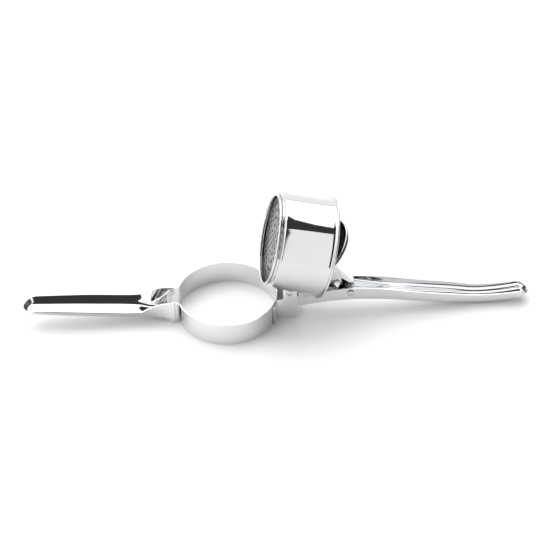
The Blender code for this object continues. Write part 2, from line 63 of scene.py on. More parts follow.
# Places that every piece shares, read from the frame
sheet = 0.0010
pinPlay = 0.0002  # between a pin or rivet and its hole, on the radius
metresApart = 1e-6  # two places nearer than this are the same place
joints = {joint["name"]: joint for joint in frame["joints"]}
bandLow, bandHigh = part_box("ring_band")
bandRadius = (bandHigh.y - bandLow.y) / 2
ringCentre = Vector((bandHigh.x - bandRadius, 0, 0))
pinLow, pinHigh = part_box("hinge_pin")
hingePlace = (pinLow + pinHigh) / 2
pusherPinLow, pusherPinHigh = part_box("pusher_pin")
pusherPlace = (pusherPinLow + pusherPinHigh) / 2
pusherLean = -40.0  # degrees about Y
basketAxis = -Vector(joints["basket_lift"]["axis"])
basketAxis.normalize()
steelTones = {
    # pale is the same steel lightened, painted light for pieces that reflect the shaded table
    "bright": (0.65, 0.655, 0.66, 1.0), "pale": (0.74, 0.745, 0.75, 1.0),
    # inside: a near-black tone that is painted shade for the dark reflections in the basket, not
    # the steel's own colour
    "inside": (0.13, 0.132, 0.134, 1.0), "pins": (0.60, 0.60, 0.61, 1.0),
}


def editMode(mode="VERT"):
    bpy.ops.object.mode_set(mode="EDIT")
    bpy.ops.mesh.select_mode(type=mode)


def objectMode():
    if bpy.context.object and bpy.context.object.mode != "OBJECT":
        bpy.ops.object.mode_set(mode="OBJECT")


def deselectAll():
    objectMode()
    bpy.ops.object.select_all(action="DESELECT")


def takeUp(obj):
    deselectAll()
    obj.select_set(True)
    bpy.context.view_layer.objects.active = obj


def pickVertices(obj, wanted):
    # leaves edit mode with only the wanted vertices picked
    editMode()
    bpy.ops.mesh.select_all(action="DESELECT")
    objectMode()
    for vertex in obj.data.vertices:
        vertex.select = wanted(vertex.co)
    editMode()


def startPoint(name, place):
    # a small plane merged to one corner, ready to be drawn out
    deselectAll()
    bpy.ops.mesh.primitive_plane_add(size=0.001, location=place)
    obj = bpy.context.object
    obj.name = name
    bpy.ops.object.transform_apply(location=True, rotation=True, scale=True)
    editMode()
    bpy.ops.mesh.select_all(action="SELECT")
    bpy.ops.mesh.merge(type="CENTER")
    return obj


def drawTo(step):
    bpy.ops.mesh.extrude_region_move(TRANSFORM_OT_translate={"value": tuple(step)})


def drawLine(points):
    for a, b in zip(points, points[1:]):
        drawTo(Vector(b) - Vector(a))


def arcPoints(centre, radius, start, end, steps):
    # points in a plane, angles in degrees, both ends included
    found = []
    for step in range(steps + 1):
        angle = math.radians(start + (end - start) * step / steps)
        found.append((centre[0] + radius * math.cos(angle), centre[1] + radius * math.sin(angle)))
    return found


def mergeDoubles(distance=2e-6):
    bpy.ops.mesh.select_all(action="SELECT")
    bpy.ops.mesh.remove_doubles(threshold=distance)


def applyAll(obj):
    takeUp(obj)
    for modifier in list(obj.modifiers):
        bpy.ops.object.modifier_apply(modifier=modifier.name)


def faceOutwards(obj, probe, outward):
    # turns the whole sheet round if the face nearest to the probe looks the wrong way
    takeUp(obj)
    editMode("FACE")
    bpy.ops.mesh.select_all(action="SELECT")
    bpy.ops.mesh.normals_make_consistent(inside=False)
    objectMode()
    near = min(obj.data.polygons, key=lambda face: (face.center - Vector(probe)).length)
    if near.normal.dot(Vector(outward)) < 0:
        editMode("FACE")
        bpy.ops.mesh.select_all(action="SELECT")
        bpy.ops.mesh.flip_normals()
        objectMode()


def smoothSkin(obj, levels):
    modifier = obj.modifiers.new("smooth", "SUBSURF")
    modifier.levels = levels
    modifier.render_levels = levels
    applyAll(obj)


def thicken(obj, thickness):
    # the drawn skin is the outside, and the thickness goes inwards
    wall = obj.modifiers.new("wall", "SOLIDIFY")
    wall.thickness = thickness
    wall.offset = -1.0
    wall.use_even_offset = True


def sheetMetal(obj, thickness, edge):
    thicken(obj, thickness)
    softEdge(obj, edge)
    applyAll(obj)
    smoothShade(obj)


def softEdge(obj, width, limit=50.0, segments=3):
    bevel = obj.modifiers.new("edge", "BEVEL")
    bevel.width = width
    bevel.segments = segments
    bevel.limit_method = "ANGLE"
    bevel.angle_limit = math.radians(limit)


def smoothShade(obj, angle=40.0):
    takeUp(obj)
    bpy.ops.object.shade_smooth_by_angle(angle=math.radians(angle))


def mirrorAcross(obj):
    takeUp(obj)
    mirror = obj.modifiers.new("otherSide", "MIRROR")
    mirror.use_axis = (False, True, False)
    mirror.use_clip = True
    mirror.merge_threshold = 1e-5
    applyAll(obj)


def putInPlace(obj, place, turn=0.0, about="Y"):
    # turns the piece about one axis, moves it, and leaves its origin at the middle of the world
    takeUp(obj)
    obj.matrix_world = Matrix.Translation(place) @ Matrix.Rotation(math.radians(turn), 4, about)
    bpy.ops.object.transform_apply(location=True, rotation=True, scale=True)


def turnedPiece(name, outline, steps):
    # outline of (radius, height) spun about Z
    points = [(radius, 0, height) for radius, height in outline]
    obj = startPoint(name, points[0])
    drawLine(points)
    editMode()
    bpy.ops.mesh.select_all(action="SELECT")
    bpy.ops.mesh.spin(
        steps=steps, angle=2 * math.pi, center=(0, 0, 0), axis=(0, 0, 1), dupli=False,
        use_normal_flip=False,
    )
    mergeDoubles()
    objectMode()
    return obj


def closeOutline(obj):
    # joins the last drawn point to the first
    editMode()
    bpy.ops.mesh.select_all(action="DESELECT")
    objectMode()
    obj.data.vertices[0].select = True
    obj.data.vertices[len(obj.data.vertices) - 1].select = True
    editMode()
    bpy.ops.mesh.edge_face_add()
    objectMode()


def solidNormals(obj):
    takeUp(obj)
    editMode("FACE")
    mergeDoubles()
    bpy.ops.mesh.normals_make_consistent(inside=False)
    objectMode()


def easeRows(rows, x):
    # reads rows of (x, value, ...) at x, easing between them without overshoot
    if x <= rows[0][0]:
        return rows[0][1:]
    for index, (left, right) in enumerate(zip(rows, rows[1:])):
        if x > right[0]:
            continue
        width = right[0] - left[0]
        share = (x - left[0]) / width
        before = rows[index - 1] if index else left
        after = rows[index + 2] if index + 2 < len(rows) else right
        found = []
        for k in range(1, len(left)):
            middle = (right[k] - left[k]) / width
            slopes = []
            for a, b in ((before, left), (right, after)):
                other = (b[k] - a[k]) / (b[0] - a[0]) if b[0] != a[0] else middle
                both = other + middle
                slopes.append(0.0 if other * middle <= 0 else 2 * other * middle / both)
            rise = 2 * share**3 - 3 * share**2 + 1
            found.append(
                rise * left[k] + (share**3 - 2 * share**2 + share) * width * slopes[0]
                + (1 - rise) * right[k] + (share**3 - share**2) * width * slopes[1]
            )
        return tuple(found)
    return rows[-1][1:]


def newGroup(name, inputs, outputs):
    group = bpy.data.node_groups.new(name, "ShaderNodeTree")
    for socketName, kind, value in inputs:
        socket = group.interface.new_socket(name=socketName, in_out="INPUT", socket_type=kind)
        if value is not None:
            socket.default_value = value
    for socketName, kind in outputs:
        group.interface.new_socket(name=socketName, in_out="OUTPUT", socket_type=kind)
    return group, group.nodes.new("NodeGroupInput"), group.nodes.new("NodeGroupOutput")


def mathNode(tree, operation, first, second=None, third=None):
    node = tree.nodes.new("ShaderNodeMath")
    node.operation = operation
    for socket, value in zip(node.inputs, (first, second, third)):
        if value is None:
            continue
        if isinstance(value, (int, float)):
            socket.default_value = value
        else:
            tree.links.new(value, socket)
    return node.outputs[0]


def rangeNode(tree, value, fromLow, fromHigh, toLow, toHigh, smooth=False):
    node = tree.nodes.new("ShaderNodeMapRange")
    node.interpolation_type = "SMOOTHSTEP" if smooth else "LINEAR"
    tree.links.new(value, node.inputs["Value"])
    for name, given in (("From Min", fromLow), ("From Max", fromHigh),
                        ("To Min", toLow), ("To Max", toHigh)):
        if isinstance(given, (int, float)):
            node.inputs[name].default_value = given
        else:
            tree.links.new(given, node.inputs[name])
    return node.outputs["Result"]


def polishLinesGroup():
    # fine lines that a polishing wheel leaves along one direction
    group, given, made = newGroup(
        "polishLines",
        [("Position", "NodeSocketVector", None), ("Stretch", "NodeSocketVector", (6, 900, 900)),
         ("Fineness", "NodeSocketFloat", 1.0)],
        [("Lines", "NodeSocketFloat"), ("Streaks", "NodeSocketFloat")],
    )
    scale = group.nodes.new("ShaderNodeVectorMath")
    scale.operation = "MULTIPLY"
    group.links.new(given.outputs["Position"], scale.inputs[0])
    group.links.new(given.outputs["Stretch"], scale.inputs[1])
    fine = group.nodes.new("ShaderNodeTexNoise")
    fine.inputs["Detail"].default_value = 4.0
    group.links.new(scale.outputs[0], fine.inputs["Vector"])
    group.links.new(given.outputs["Fineness"], fine.inputs["Scale"])
    group.links.new(fine.outputs["Fac"], made.inputs["Lines"])
    wide = group.nodes.new("ShaderNodeTexNoise")
    wide.inputs["Detail"].default_value = 2.0
    group.links.new(scale.outputs[0], wide.inputs["Vector"])
    group.links.new(mathNode(group, "MULTIPLY", given.outputs["Fineness"], 0.12),
                    wide.inputs["Scale"])
    streaks = rangeNode(group, wide.outputs["Fac"], 0.42, 0.68, 0.0, 1.0, True)
    group.links.new(streaks, made.inputs["Streaks"])
    return group


def handlingAndGlintGroup():
    # soft smudges, a few water spots, and convex edges lightened as a painted highlight
    group, given, made = newGroup(
        "handlingMarksAndEdgeGlint",
        [("Position", "NodeSocketVector", None), ("Smudge Scale", "NodeSocketFloat", 38.0),
         ("Spot Scale", "NodeSocketFloat", 260.0), ("Edge Softness", "NodeSocketFloat", 0.06)],
        [("Smudges", "NodeSocketFloat"), ("Spots", "NodeSocketFloat"),
         ("Edges", "NodeSocketFloat")],
    )
    cloud = group.nodes.new("ShaderNodeTexNoise")
    cloud.inputs["Detail"].default_value = 3.0
    cloud.inputs["Distortion"].default_value = 0.6
    group.links.new(given.outputs["Position"], cloud.inputs["Vector"])
    group.links.new(given.outputs["Smudge Scale"], cloud.inputs["Scale"])
    smudges = rangeNode(group, cloud.outputs["Fac"], 0.50, 0.74, 0.0, 1.0, True)
    group.links.new(smudges, made.inputs["Smudges"])
    cells = group.nodes.new("ShaderNodeTexVoronoi")
    group.links.new(given.outputs["Position"], cells.inputs["Vector"])
    group.links.new(given.outputs["Spot Scale"], cells.inputs["Scale"])
    ring = rangeNode(group, cells.outputs["Distance"], 0.10, 0.16, 1.0, 0.0, True)
    rare = rangeNode(group, cloud.outputs["Fac"], 0.60, 0.66, 0.0, 1.0, True)
    group.links.new(mathNode(group, "MULTIPLY", ring, rare), made.inputs["Spots"])
    # convex edges found by pointiness, for a painted highlight
    shape = group.nodes.new("ShaderNodeNewGeometry")
    high = mathNode(group, "ADD", given.outputs["Edge Softness"], 0.52)
    edges = rangeNode(group, shape.outputs["Pointiness"], 0.52, high, 0.0, 1.0, True)
    group.links.new(edges, made.inputs["Edges"])
    return group


polishLines = polishLinesGroup()
handlingMarksAndEdgeGlint = handlingAndGlintGroup()


def steelFinish(name, tone, stretch, fineness, gloss, edgeGlint, bump):
    # gloss is (clean, smudged) roughness; the number after gloss says how much lighter the painted
    # highlight makes a convex edge
    material = bpy.data.materials.new(name)
    material.use_nodes = True
    tree = material.node_tree
    shader = tree.nodes["Principled BSDF"]
    shader.inputs["Metallic"].default_value = 1.0
    place = tree.nodes.new("ShaderNodeTexCoord")
    lines = tree.nodes.new("ShaderNodeGroup")
    lines.node_tree = polishLines
    lines.inputs["Stretch"].default_value = stretch
    lines.inputs["Fineness"].default_value = fineness
    tree.links.new(place.outputs["Object"], lines.inputs["Position"])
    marks = tree.nodes.new("ShaderNodeGroup")
    marks.node_tree = handlingMarksAndEdgeGlint
    tree.links.new(place.outputs["Object"], marks.inputs["Position"])

    # convex edges take a lighter tone: a painted highlight
    paler = tree.nodes.new("ShaderNodeMix")
    paler.data_type = "RGBA"
    paler.inputs["A"].default_value = tone
    paler.inputs["B"].default_value = tuple(min(1.0, c + edgeGlint) for c in tone[:3]) + (1.0,)
    tree.links.new(marks.outputs["Edges"], paler.inputs["Factor"])
    dulled = tree.nodes.new("ShaderNodeMix")
    dulled.data_type = "RGBA"
    dulled.inputs["B"].default_value = tuple(c * 0.955 for c in tone[:3]) + (1.0,)
    tree.links.new(mathNode(tree, "MULTIPLY", marks.outputs["Smudges"], 0.6),
                   dulled.inputs["Factor"])
    tree.links.new(paler.outputs["Result"], dulled.inputs["A"])
    tree.links.new(dulled.outputs["Result"], shader.inputs["Base Color"])

    rough = rangeNode(tree, marks.outputs["Smudges"], 0.0, 1.0, gloss[0], gloss[1])
    rough = mathNode(tree, "MULTIPLY_ADD", lines.outputs["Streaks"], 0.5 * (gloss[1] - gloss[0]),
                     rough)
    rough = mathNode(tree, "MULTIPLY_ADD", marks.outputs["Spots"], 0.05, rough)
    tree.links.new(rough, shader.inputs["Roughness"])
    relief = tree.nodes.new("ShaderNodeBump")
    relief.inputs["Strength"].default_value = bump
    relief.inputs["Distance"].default_value = 0.00001
    tree.links.new(lines.outputs["Lines"], relief.inputs["Height"])
    tree.links.new(relief.outputs["Normal"], shader.inputs["Normal"])
    return material


finishes = {
    # the handles, band and pressings take the lightened pale tone, which is painted light
    "handles": steelFinish("polishedHandles", steelTones["pale"], (8, 700, 700), 1.0,
                           (0.030, 0.075), 0.05, 0.20),
    "band": steelFinish("polishedBand", steelTones["pale"], (70, 70, 900), 1.0,
                        (0.045, 0.090), 0.04, 0.25),
    "basket": steelFinish("drawnBasket", steelTones["bright"], (700, 60, 160), 1.0,
                          (0.035, 0.080), 0.04, 0.22),
    "pressings": steelFinish("pressedSteel", steelTones["pale"], (300, 300, 300), 1.0,
                             (0.050, 0.110), 0.05, 0.20),
    # satin roughness inside the basket; its near-black tone is painted shade
    "inside": steelFinish("satinInsidePaintedShade", steelTones["inside"], (260, 260, 260), 1.0,
                          (0.240, 0.330), 0.10, 0.30),
    "pins": steelFinish("turnedPins", steelTones["pins"], (500, 60, 500), 1.0,
                        (0.160, 0.260), 0.08, 0.40),
}
print("finishes ready")


def putOn(obj, body, nodes, finish):
    obj.data.materials.clear()
    obj.data.materials.append(finishes[finish])
    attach(obj, body)
    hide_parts(*nodes)
    print("made", obj.name, len(obj.data.polygons), "faces")


band = {
    "height": bandHigh.z - bandLow.z, "neckHalf": 0.0096, "fillet": 0.0050,
    "neckLength": 0.0026, "arcSteps": 60,
}


def bandMeeting():
    # centre of the fillet where the band turns out into its neck
    reach = bandRadius + band["fillet"]
    y = -(band["neckHalf"] + band["fillet"])
    return Vector((-math.sqrt(reach**2 - y**2), y, 0))


def makeBand():
    centre = bandMeeting()
    start = Vector((centre.x - band["neckLength"], -band["neckHalf"], 0))
    meeting = math.degrees(math.atan2(centre.y, centre.x))
    plan = [start, Vector((start.x + 0.5 * band["neckLength"], start.y, 0))]
    plan += [Vector((x, y, 0)) for x, y in
             arcPoints(centre, band["fillet"], 90, meeting + 180, 8)]
    plan += [Vector((x, y, 0)) for x, y in
             arcPoints((0, 0), bandRadius, meeting, 0, band["arcSteps"])][1:]
    obj = startPoint("ringBand", plan[0])
    drawLine(plan)
    bpy.ops.mesh.select_all(action="SELECT")
    for share in (0.04, 0.30, 0.32, 0.30, 0.04):
        drawTo((0, 0, share * band["height"]))
    objectMode()
    mirrorAcross(obj)
    faceOutwards(obj, (bandRadius, 0, 0.01), (1, 0, 0))
    sheetMetal(obj, sheet, 0.00018)
    putInPlace(obj, ringCentre)
    putOn(obj, "frame", ["ring_band"], "band")


def halfSection(half, rim, floor, corner, lean, floorSteps):
    # rim, leaning side, round corner and floor of half a trough, as (y, z)
    corner = min(corner, 0.7 * (rim - floor))
    # the lean leaves some level floor between the corners
    slope = min(math.radians(lean), math.atan2(max(0.85 * half - corner, 0.0), rim - floor))
    foot = floor + corner - corner * math.sin(slope)
    centre = half - (rim - foot) * math.tan(slope) - corner * math.cos(slope)
    points = [(half - (rim - z) * math.tan(slope), z)
              for z in (rim, rim - 0.0007, (rim + foot) / 2)]
    for step in range(6):
        turn = slope + (math.pi / 2 - slope) * step / 5
        points.append((centre + corner * math.cos(turn), floor + corner - corner * math.sin(turn)))
    points += [(centre * (1 - step / floorSteps), floor) for step in range(1, floorSteps + 1)]
    return points


def drawSections(name, stations, outlineAt):
    # the first section drawn point by point, drawn out along X, then each one set to its outline
    first = outlineAt(stations[0])
    obj = startPoint(name, (stations[0], *first[0]))
    drawLine([(stations[0], y, z) for y, z in first])
    bpy.ops.mesh.select_all(action="SELECT")
    for old, new in zip(stations, stations[1:]):
        drawTo((new - old, 0, 0))
    objectMode()
    outlines = [outlineAt(x) for x in stations]
    for vertex in obj.data.vertices:
        station = min(range(len(stations)), key=lambda i: abs(stations[i] - vertex.co.x))
        place = min(range(len(first)), key=lambda i: math.hypot(first[i][0] - vertex.co.y,
                                                                first[i][1] - vertex.co.z))
        vertex.co.x = stations[station]
        vertex.co.y, vertex.co.z = outlines[station][place]
    pickVertices(obj, lambda co: abs(co.x - stations[-1]) < metresApart)
    return obj


def roundTip(last, way, tipRim, tipFloor, steps=9):
    # swings the last section a quarter turn about the tip's centre, its rim dipping as it goes
    x, half, rim, floor = last
    depth = rim - floor
    for step in range(1, steps + 1):
        share = math.sin(math.radians(90 * step / steps))
        before = math.sin(math.radians(90 * (step - 1) / steps))
        drawTo((0, 0, 0))
        bpy.ops.transform.rotate(
            value=math.radians(90 / steps) * way, orient_axis="Z", orient_type="GLOBAL",
            center_override=(x, 0, 0),
        )
        now = depth + (tipRim - tipFloor - depth) * share
        was = depth + (tipRim - tipFloor - depth) * before
        bpy.ops.transform.resize(
            value=(1, 1, now / was), center_override=(x, 0, floor + (tipFloor - floor) * before),
        )
        bpy.ops.transform.translate(value=(0, 0, (tipFloor - floor) * (share - before)))


handle = {
    "reach": 0.1715, "shoulder": 0.0300, "half": 0.0127, "tipHalf": 0.0106,
    "depth": 0.0083, "tipDepth": 0.0066, "tipDip": 0.0024, "shoulderRise": 0.0050,
    "tipRise": 0.0120, "corner": 0.0044, "lean": 26.0, "gap": 0.0003,
    "beadHalf": 0.0042, "beadHeight": 0.0006, "beadWidth": 0.0011, "beadLength": 0.0185,
}


def handleRows():
    start = -(bandMeeting().x - band["neckLength"]) - band["neckLength"] - 0.0004
    neck = band["neckHalf"] + handle["gap"] + sheet
    shoulder = start + handle["shoulder"]
    rise, depth, tipRise, tipDepth = (handle[k] for k in
                                      ("shoulderRise", "depth", "tipRise", "tipDepth"))
    rim = rise + depth
    reach = handle["reach"]
    # distance from the ring, half width, rim, floor
    rows = [
        (start, neck, band["height"] + sheet * 0.5, handle["gap"]),
        (start + 0.25 * handle["shoulder"], neck + 0.0004, band["height"] + sheet * 0.4, 0.0012),
        (start + 0.72 * handle["shoulder"], handle["half"] - 0.0006, rim + 0.0037, rise - 0.0014),
        (shoulder, handle["half"], rim, rise),
        (0.67 * reach, handle["half"] - 0.0004, (rim + tipRise + tipDepth) / 2,
         (rise + tipRise) / 2 - 0.0001),
        (reach - handle["tipHalf"], handle["tipHalf"], tipRise + tipDepth, tipRise),
    ]
    return start, shoulder, rows


def makeHandle():
    start, shoulder, rows = handleRows()
    neckEnd = start + band["neckLength"] + 0.0004
    floorStart = neckEnd + 0.0009
    tipX = handle["reach"] - handle["tipHalf"]
    stations = [floorStart + (shoulder - floorStart) * step / 13 for step in range(14)]
    stations += [shoulder + (tipX - shoulder) * step / 14 for step in range(1, 15)]
    first = (floorStart, *easeRows(rows, floorStart))

    def outlineAt(x):
        # the sides stand straight by the ring and lean out along the grip
        grip = min(max((x - floorStart) / (shoulder - floorStart), 0.0), 1.0)
        return halfSection(*easeRows(rows, x), handle["corner"], handle["lean"] * grip, 6)

    obj = drawSections("lowerHandle", stations, outlineAt)
    tipRim = handle["tipRise"] + handle["tipDepth"] - handle["tipDip"]
    roundTip((tipX, *easeRows(rows, tipX)), 1, tipRim, handle["tipRise"])
    # the cheeks that clasp the band's neck have no floor between them
    pickVertices(obj, lambda co: abs(co.x - first[0]) < metresApart and co.y > first[1] - 1e-4)
    foot = first[3] + handle["corner"]
    drawTo((neckEnd + 0.0003 - first[0], 0, 0))
    bpy.ops.transform.resize(
        value=(1, 1, (first[2] - 0.0006) / (first[2] - foot)),
        center_override=(neckEnd, 0, first[2]),
    )
    for step in range(3):
        drawTo(((start - neckEnd - 0.0003) / 3, 0, 0))
    mergeDoubles()
    objectMode()
    mirrorAcross(obj)
    faceOutwards(obj, (0.12, 0, 0.0), (0, 0, -1))
    smoothSkin(obj, 2)
    pressBead(obj, floorStart)
    sheetMetal(obj, sheet, 0.00022)
    # drawn towards +X, so it is turned half round to lie to the left
    putInPlace(obj, ringCentre, 180, "Z")
    putOn(obj, "frame", ["lower_handle"], "handles")


def pressBead(obj, floorStart):
    # a stiffening bead pressed up in the floor by the ring, a long U closed at its far end
    near, far = floorStart + 0.0012, floorStart + handle["beadLength"]
    for vertex in obj.data.vertices:
        x, y, z = vertex.co
        if z > 0.0075 or x > far + 0.004:
            continue
        straight = min(max(x, near), far - handle["beadHalf"])
        away = abs(math.hypot(x - straight, y) - handle["beadHalf"]) if x > near else 1.0
        if away < handle["beadWidth"]:
            lift = math.cos(away / handle["beadWidth"] * math.pi / 2) ** 2
            vertex.co.z = z + handle["beadHeight"] * lift


lever = {
    "reach": 0.2056, "half": 0.0088, "tipHalf": 0.0078, "corner": 0.0022, "gripCorner": 0.0050,
    "lean": 8.0, "lobe": 0.0037,
    "webStart": 0.0075, "hingeHalf": 0.0101, "pinDrop": 0.0062, "pinReach": 0.0517,
    "tipRim": -0.0192, "tipFloor": -0.0245,
}


def leverRows():
    half, tipHalf, hingeHalf = lever["half"], lever["tipHalf"], lever["hingeHalf"]
    pinRim = 0.0050 - lever["pinDrop"]
    return [
        (lever["lobe"], hingeHalf, -0.0060, -0.0172),
        (0.0100, hingeHalf - 0.0001, -0.0082, -0.0172),
        (0.0215, half + 0.0006, pinRim - 0.0046, -0.0160),
        (0.0330, half + 0.0003, pinRim - 0.0014, -0.0151),
        (lever["pinReach"], half, pinRim, -0.0152),
        (0.0765, half, -0.0034, -0.0174),
        (0.1010, half + 0.0004, -0.0074, -0.0207),
        (0.1390, half, -0.0130, -0.0253),
        (0.1650, tipHalf, -0.0163, -0.0275),
        (0.1800, tipHalf, -0.0160, -0.0270),
        (lever["reach"] - tipHalf, tipHalf, -0.0145, -0.0250),
    ]


def makeLever():
    rows = leverRows()
    tipX = lever["reach"] - lever["tipHalf"]
    first = lever["webStart"]
    stations = [first + (tipX - first) * step / 30 for step in range(31)]
    half, rim, floor = easeRows(rows, first)

    def outlineAt(x):
        # square by the hinge, rounder and more open along the grip
        grip = min(max((x - 0.030) / 0.060, 0.0), 1.0)
        corner = lever["corner"] + (lever["gripCorner"] - lever["corner"]) * grip
        return halfSection(*easeRows(rows, x), corner, lever["lean"] * grip, 3)

    obj = drawSections("upperLever", stations, outlineAt)
    roundTip((tipX, *easeRows(rows, tipX)), 1, lever["tipRim"], lever["tipFloor"])
    # cheeks round the hinge pin
    pickVertices(obj, lambda co: abs(co.x - first) < metresApart and co.y > half - 1e-4)
    top, bottom, x = rim, floor + lever["corner"], first
    lobe = lever["lobe"]
    angles = [40, 62, 85, 105, 125, 145, 165]
    ends = [(0.0054, 0.62)] + [(lobe * math.cos(math.radians(a)), None) for a in angles]
    for newX, share in ends:
        if newX > 0:
            part = newX / first
            rise = math.sqrt(max(lobe**2 - newX**2, 0.0)) if newX < lobe else 0.0
            newTop = rise + (rim - rise) * part**3
            newBottom = -lobe + (bottom + lobe) * part**1.5
        else:
            newTop = math.sqrt(lobe**2 - newX**2)
            newBottom = -newTop
        middle = (newTop + newBottom) / 2
        drawTo((newX - x, 0, middle - (top + bottom) / 2))
        bpy.ops.transform.resize(
            value=(1, 1, (newTop - newBottom) / (top - bottom)), center_override=(newX, 0, middle),
        )
        top, bottom, x = newTop, newBottom, newX
    mergeDoubles()
    objectMode()
    mirrorAcross(obj)
    faceOutwards(obj, (0.12, 0, -0.05), (0, 0, -1))
    smoothSkin(obj, 2)
    sheetMetal(obj, sheet, 0.00020)
    putInPlace(obj, hingePlace)
    cutRods(obj, hinge["pinRadius"] + pinPlay, 0.05, [hingePlace, pusherPlace])
    smoothShade(obj)
    putOn(obj, "lever", ["upper_lever"], "handles")


def cutRods(obj, radius, length, places, axis=(0, 1, 0), sides=32):
    # one rod, copied to each place, taken away from the piece
    deselectAll()
    turn = Vector((0, 0, 1)).rotation_difference(Vector(axis)).to_euler()
    bpy.ops.mesh.primitive_cylinder_add(
        vertices=sides, radius=radius, depth=length, location=places[0], rotation=turn,
    )
    rod = bpy.context.object
    rods = [rod]
    for place in places[1:]:
        copy = rod.copy()
        copy.data = rod.data.copy()
        copy.location = place
        bpy.context.collection.objects.link(copy)
        rods.append(copy)
    deselectAll()
    for each in rods:
        each.select_set(True)
    bpy.context.view_layer.objects.active = rod
    if len(rods) > 1:
        bpy.ops.object.join()
    cut = obj.modifiers.new("holes", "BOOLEAN")
    cut.operation = "DIFFERENCE"
    cut.solver = "EXACT"
    cut.object = rod
    applyAll(obj)
    bpy.data.objects.remove(rod, do_unlink=True)


hinge = {
    "earHalf": 0.0123, "beyondPin": 0.0060, "abovePin": 0.0034, "foot": 0.0004, "step": 0.0045,
    "tabDegrees": 12.0, "gap": 0.0003, "tabBelow": 0.0006, "pinRadius": 0.0019,
    "headRadius": 0.0030, "headHeight": 0.0011, "washer": 0.0006, "washerRadius": 0.0042,
}


def makeEar(side, name, node):
    outer = bandRadius + hinge["gap"] + sheet
    pinX = hingePlace.x - ringCentre.x
    pinZ = hingePlace.z
    half = hinge["earHalf"]
    faceX = math.sqrt(outer**2 - half**2)
    leave = math.degrees(math.asin(half / outer))
    endX = pinX + hinge["beyondPin"]
    stepX = faceX + hinge["step"]
    foot, tabTop = hinge["foot"], bandHigh.z - hinge["tabBelow"]
    top = pinZ + hinge["abovePin"]
    plan = [(endX, half), (endX - 0.0020, half), ((endX + stepX) / 2, half), (stepX, half),
            (faceX + 0.0014, half)]
    plan += arcPoints((0, 0), outer, leave, leave + hinge["tabDegrees"], 8)
    obj = startPoint(name, (plan[0][0], side * plan[0][1], foot))
    drawLine([(x, side * y, foot) for x, y in plan])
    bpy.ops.mesh.select_all(action="SELECT")
    drawTo((0, 0, 0.4 * (tabTop - foot)))
    drawTo((0, 0, 0.6 * (tabTop - foot)))
    pickVertices(obj, lambda co: co.x > stepX - metresApart and co.z > tabTop - metresApart)
    drawTo((0, 0, top - tabTop))
    objectMode()
    # round the step, the upper corner and the tab's corners
    pickVertices(obj, lambda co: abs(co.z - top) < metresApart
                 and (co.x > endX - metresApart or co.x < stepX + metresApart))
    bpy.ops.mesh.bevel(offset=0.0019, segments=5, affect="VERTICES", profile=0.5)
    objectMode()
    faceOutwards(obj, (endX, side * half, 0.01), (0, side, 0))
    sheetMetal(obj, sheet, 0.00016)
    putInPlace(obj, ringCentre)
    cutRods(obj, hinge["pinRadius"] + pinPlay, 0.008, [hingePlace + Vector((0, side * half, 0))])
    smoothShade(obj, 35)
    putOn(obj, "frame", [node], "pressings")


def rivetOutline(radius, headRadius, headHeight, grip):
    # from the middle of one domed head, down the shank, to the middle of the other
    turns = [math.radians(angle) for angle in range(90, 5, -12)]
    dome = [(headRadius * math.cos(turn), grip / 2 + headHeight * math.sin(turn)) for turn in turns]
    dome[0] = (0.0, grip / 2 + headHeight)
    upper = dome + [(headRadius, grip / 2), (radius, grip / 2)]
    return upper + [(r, -z) for r, z in reversed(upper)]


def makeRivet(name, node, sizes, grip, place, body, turn, about):
    obj = turnedPiece(name, rivetOutline(*sizes, grip), 40)
    solidNormals(obj)
    softEdge(obj, 0.00010, 60.0, 2)
    applyAll(obj)
    smoothShade(obj, 40)
    putInPlace(obj, place, turn, about)
    putOn(obj, body, [node], "pins")


def makeRing(name, node, inner, outer, length, place, body):
    half, soft = length / 2, 0.00012
    outline = [(inner, -half), (outer - soft, -half), (outer, -half + soft), (outer, half - soft),
               (outer - soft, half), (inner, half), (inner, -half)]
    obj = turnedPiece(name, outline, 40)
    solidNormals(obj)
    smoothShade(obj, 40)
    putInPlace(obj, place, 90, "X")
    putOn(obj, body, [node], "pins")


def makeHinge():
    makeEar(-1, "hingeEarFront", "hinge_ear_front")
    makeEar(1, "hingeEarBack", "hinge_ear_back")
    sizes = (hinge["pinRadius"], hinge["headRadius"], hinge["headHeight"])
    grip = 2 * (hinge["earHalf"] + hinge["gap"])
    makeRivet("hingePin", "hinge_pin", sizes, grip, hingePlace, "frame", 90, "X")
    inner = hinge["pinRadius"] + pinPlay
    for side, word in ((-1, "front"), (1, "back")):
        y = side * (hinge["earHalf"] - sheet - hinge["gap"] - hinge["washer"] / 2)
        makeRing("hingeWasher" + word.capitalize(), "hinge_washer_" + word, inner,
                 hinge["washerRadius"], hinge["washer"], hingePlace + Vector((0, y, 0)), "frame")


pusher = {
    "length": 0.0500, "half": 0.0043, "lobe": 0.0048, "web": 0.0077, "spread": 12.0,
    "footLength": 0.0260, "footHalf": 0.0110, "plateRadius": 0.0360, "plateSheet": 0.0010,
    "skirt": 0.0034, "edge": 0.0012, "rivetRadius": 0.0016, "rivetHead": 0.0028,
    "rivetHeight": 0.0010, "rivetSpread": 0.0075, "gap": 0.0003,
}


